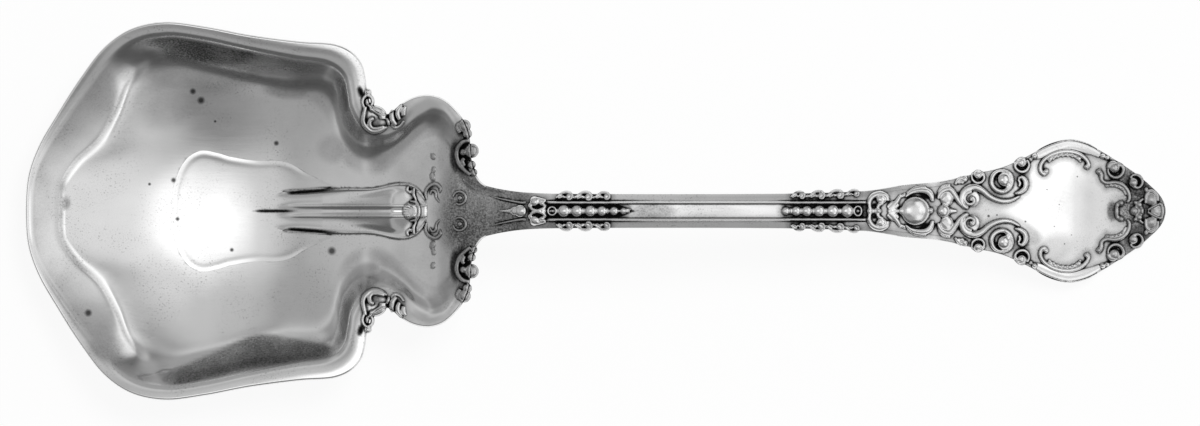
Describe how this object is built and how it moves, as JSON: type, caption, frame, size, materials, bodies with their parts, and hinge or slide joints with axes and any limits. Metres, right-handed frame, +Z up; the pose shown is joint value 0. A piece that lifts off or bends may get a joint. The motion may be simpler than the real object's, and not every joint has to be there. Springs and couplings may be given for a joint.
{
  "type": "salad serving spoon",
  "caption": "Silver salad serving spoon with a broad notched bowl, a slim channelled shank and a plate-shaped handle end edged with scroll, bead and leaf relief.",
  "frame": {"origin": "on the table, under the middle of the spoon's length and width", "axes": "+X along the spoon towards the end of the handle, +Z up out of the bowl, +Y to the right side as seen by the hand that holds it"},
  "size_m": [0.2286, 0.0756, 0.0235],
  "materials": {
    "bowl_silver": "worn polished silver, stained and pitted",
    "handle_silver": "worn polished silver with a blackened channel",
    "ornament_silver": "cast silver, rubbed bright on top and blackened in its recesses"
  },
  "bodies": {
    "root": {"bowl": "bowl_silver", "handle": "handle_silver", "bowl_tongue": "ornament_silver", "tongue_boss": "ornament_silver", "notch_scroll_left": "ornament_silver", "notch_scroll_right": "ornament_silver", "notch_leaf_left": "ornament_silver", "notch_leaf_right": "ornament_silver", "shoulder_scroll_left": "ornament_silver", "shoulder_scroll_right": "ornament_silver", "heel_scroll_left": "ornament_silver", "heel_scroll_right": "ornament_silver", "heel_volute_left": "ornament_silver", "heel_volute_right": "ornament_silver", "heel_sprig_left": "ornament_silver", "heel_sprig_right": "ornament_silver", "heel_drop": "handle_silver", "neck_rail_left": "ornament_silver", "neck_rail_right": "ornament_silver", "lower_collar": "ornament_silver", "lower_beads": "ornament_silver", "upper_beads": "ornament_silver", "lower_edge_scrolls_left": "ornament_silver", "lower_edge_scrolls_right": "ornament_silver", "upper_edge_scrolls_left": "ornament_silver", "upper_edge_scrolls_right": "ornament_silver", "upper_collar": "ornament_silver", "husk": "ornament_silver", "bud": "ornament_silver", "bud_calyx_left": "ornament_silver", "bud_calyx_right": "ornament_silver", "palmette": "ornament_silver", "volute_left": "ornament_silver", "volute_right": "ornament_silver", "edge_sprig_left": "ornament_silver", "edge_sprig_right": "ornament_silver", "small_roundel_left": "ornament_silver", "small_roundel_right": "ornament_silver", "large_roundel_left": "ornament_silver", "large_roundel_right": "ornament_silver", "upper_roundel_left": "ornament_silver", "upper_roundel_right": "ornament_silver", "comma_leaf_left": "ornament_silver", "comma_leaf_right": "ornament_silver", "rim_moulding_left": "ornament_silver", "rim_moulding_right": "ornament_silver", "cartouche_scroll_left": "ornament_silver", "cartouche_scroll_right": "ornament_silver", "crest_inner_roundel_left": "ornament_silver", "crest_inner_roundel_right": "ornament_silver", "crest_outer_roundel_left": "ornament_silver", "crest_outer_roundel_right": "ornament_silver", "lunette_left": "ornament_silver", "lunette_right": "ornament_silver", "crest_knot": "ornament_silver", "crest_flower": "ornament_silver", "crest_palmette": "ornament_silver"}
  },
  "joints": []
}
